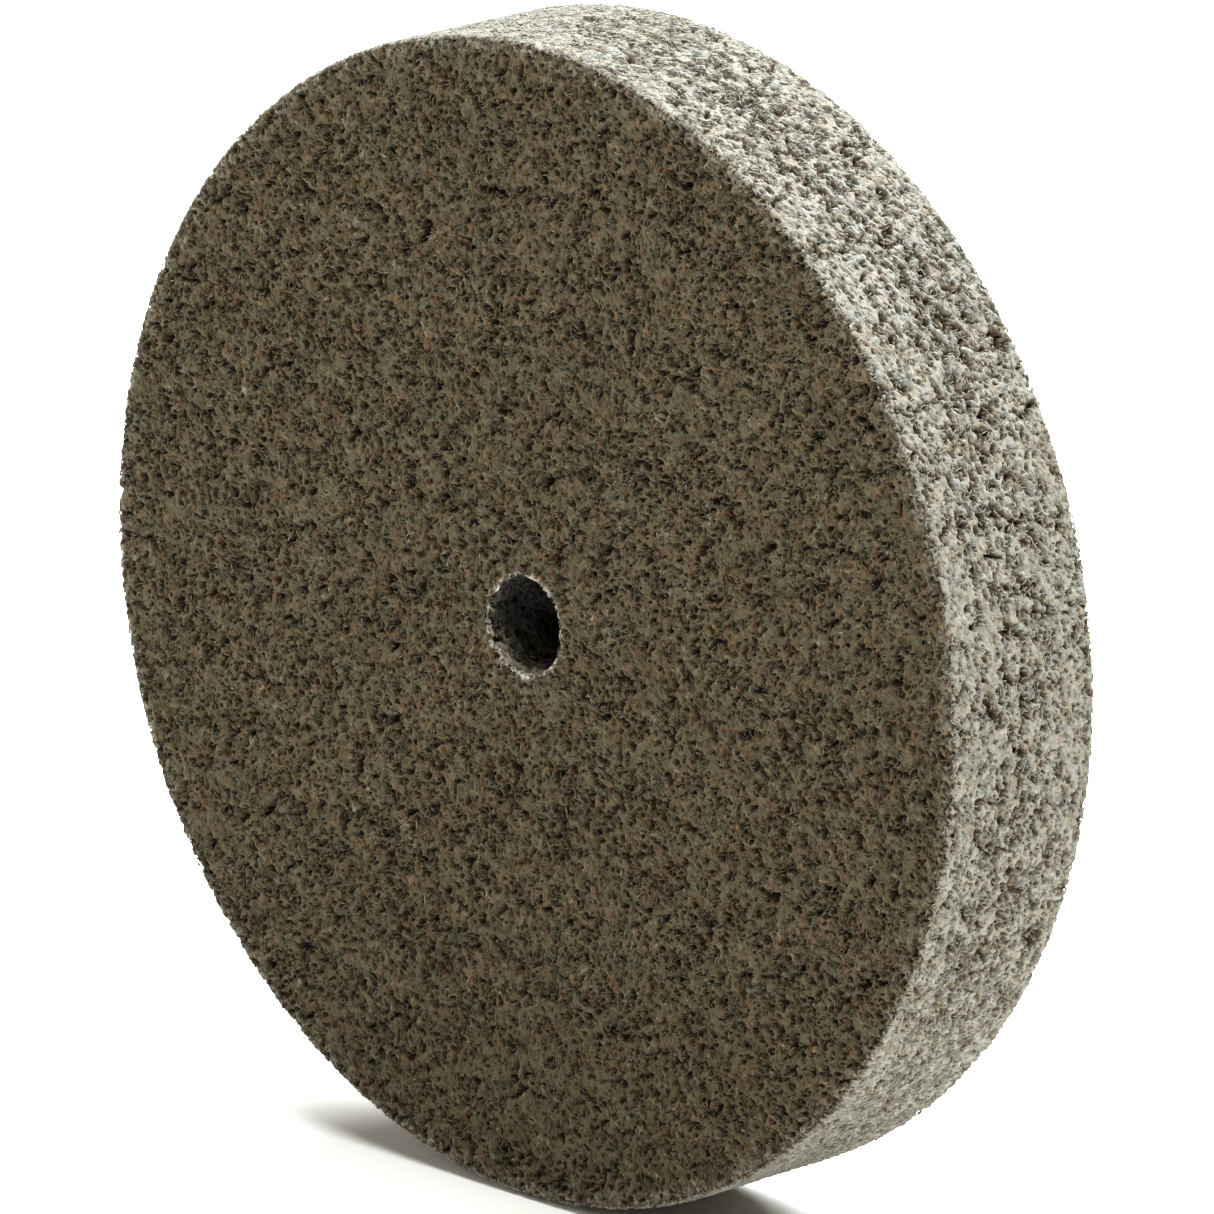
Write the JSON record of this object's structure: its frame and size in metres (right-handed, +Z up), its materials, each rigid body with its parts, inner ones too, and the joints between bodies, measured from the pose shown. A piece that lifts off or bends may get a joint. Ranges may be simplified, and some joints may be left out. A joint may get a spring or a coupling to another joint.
{
  "type": "non-woven polishing wheel",
  "caption": "Flat disc of bonded non-woven abrasive web plies with a spindle hole, clamped between two flanges to deburr, blend and polish.",
  "frame": {"origin": "centre of the wheel, on the bore's axis midway between the two faces", "axes": "+Y along the bore's axis from the front face to the back face, +Z up with the wheel standing on its rim, +X to the right seen from the front"},
  "size_m": [0.0762, 0.0126, 0.0762],
  "materials": {
    "outer_web": "matt grey-brown web of resin-bonded nylon fibres and abrasive grain",
    "inner_web": "matt grey cut edge of the same web, porous and frayed"
  },
  "bodies": {
    "root": {"web_ply_1_front": "outer_web", "web_ply_2": "inner_web", "web_ply_3": "inner_web", "web_ply_4": "inner_web", "web_ply_5": "inner_web", "web_ply_6": "inner_web", "web_ply_7": "inner_web", "web_ply_8_back": "outer_web"}
  },
  "joints": []
}
